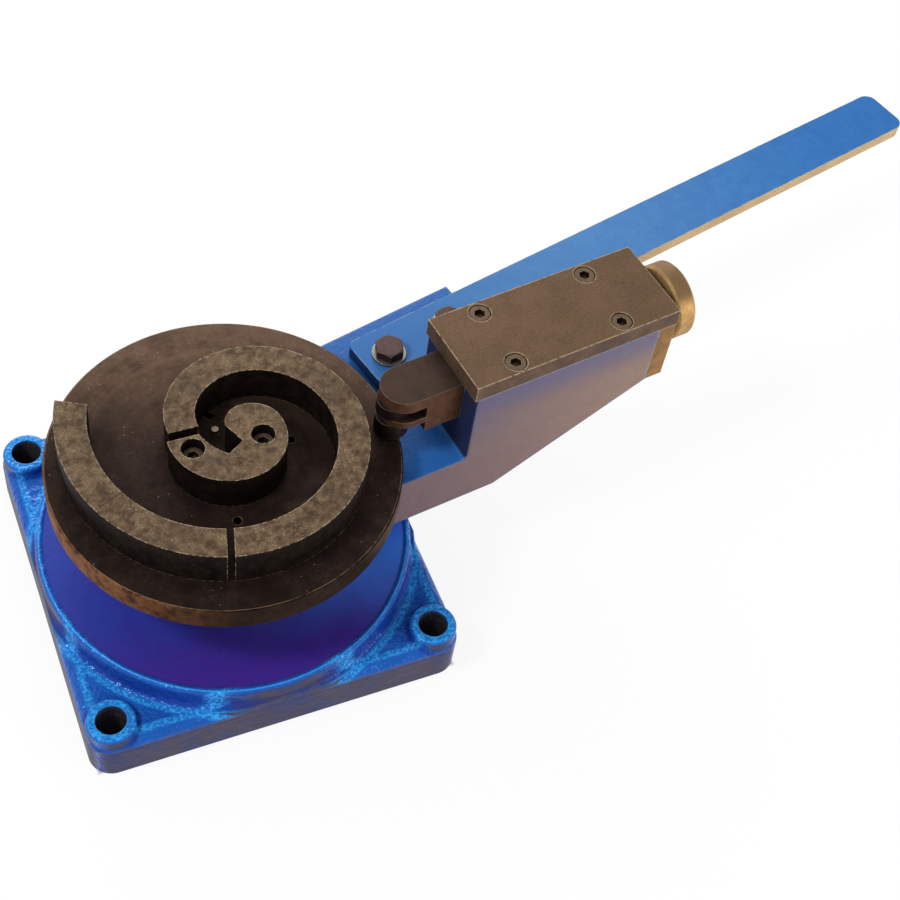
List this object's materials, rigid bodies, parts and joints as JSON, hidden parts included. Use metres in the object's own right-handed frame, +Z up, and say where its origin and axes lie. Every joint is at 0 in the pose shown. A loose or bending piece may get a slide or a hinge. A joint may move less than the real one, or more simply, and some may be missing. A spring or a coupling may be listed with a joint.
{
  "type": "scroll bender",
  "caption": "Bench scroll bender with a square base, a round disc with a spiral former, and a swinging arm with a roller ram and a bar handle.",
  "frame": {"origin": "centre of the base's bolt pattern on its underside, under the pivot post", "axes": "+Z up along the pivot post, +X along the front edge of the base towards the handle side"},
  "size_m": [0.6603, 0.2887, 0.162],
  "materials": {
    "blue_enamel": "glossy blue enamel on a casting",
    "dark_disc_steel": "turned and darkened with brown oxide",
    "worn_former_steel": "dark steel with bright worn edges",
    "brown_plate_steel": "brown oxide with worn edges",
    "black_screws": "blackened",
    "brown_bolts": "browned",
    "bright_washers": "plain zinc",
    "bronzed_steel": "turned, tan oxide",
    "hard_roller_steel": "ground and darkened",
    "bright_pins": "ground bright",
    "spring_steel": "oiled spring wire",
    "turned_steel": "turned",
    "bronze_bearing": "bearing bronze"
  },
  "bodies": {
    "base": {"base_casting": "blue_enamel", "pivot_post": "turned_steel", "post_dowel": "bright_pins", "post_washer": "turned_steel", "post_nut": "turned_steel", "lower_thrust_washer": "bronze_bearing", "former_disc": "dark_disc_steel", "core_segment": "worn_former_steel", "core_screws": "black_screws", "middle_segment": "worn_former_steel", "outer_segment": "worn_former_steel", "segment_dowels": "bright_pins", "strip_stop_pin": "bright_pins"},
    "arm": {"arm_casting": "blue_enamel", "pivot_bush": "bronze_bearing", "upper_thrust_washer": "bronze_bearing", "cover_plate": "brown_plate_steel", "cover_screws": "black_screws", "end_plate": "bronzed_steel", "end_plate_screws": "black_screws", "handle_bar": "blue_enamel", "handle_bolts": "brown_bolts", "handle_washers": "bright_washers"},
    "ram_unit": {"ram": "brown_plate_steel", "roller_pin": "bright_pins", "pin_clip": "black_screws", "ram_spring": "spring_steel"},
    "upper_roller_body": {"upper_roller": "hard_roller_steel"},
    "lower_roller_body": {"lower_roller": "hard_roller_steel"},
    "seat": {"spring_seat": "bright_pins"},
    "knob": {"adjusting_screw": "bright_pins", "lock_collar": "black_screws", "adjusting_knob": "bronzed_steel", "knob_screw": "black_screws"}
  },
  "joints": [
    {"name": "arm_swing", "type": "hinge", "parent": "base", "child": "arm", "pos_m": [0, 0, 0.07], "axis": [0, 0, 1], "range_deg": [-202, 144]},
    {"name": "ram_slide", "type": "slide", "parent": "arm", "child": "ram_unit", "axis": [0.9907, 0.1357, 0], "range_m": [-0.01735, 0.02433], "deforming": ["ram_spring"]},
    {"name": "upper_roller_spin", "type": "hinge", "parent": "ram_unit", "child": "upper_roller_body", "pos_m": [0.09604, -0.00774, 0.137], "axis": [0, 0, 1], "continuous": true},
    {"name": "lower_roller_spin", "type": "hinge", "parent": "ram_unit", "child": "lower_roller_body", "pos_m": [0.09604, -0.00774, 0.121], "axis": [0, 0, 1], "continuous": true},
    {"name": "knob_turn", "type": "hinge", "parent": "arm", "child": "knob", "pos_m": [0.27328, 0.01654, 0.136], "axis": [0.9907, 0.1357, 0], "range_deg": [-720, 720]},
    {"name": "seat_slide", "type": "slide", "parent": "arm", "child": "seat", "axis": [0.9907, 0.1357, 0], "range_m": [-0.0035, 0.0035]}
  ],
  "couplings": [
    {"joint": "ram_slide", "follows": "arm_swing", "m_per_rad": -0.0069},
    {"joint": "seat_slide", "follows": "knob_turn", "m_per_rad": -0.0002785}
  ]
}
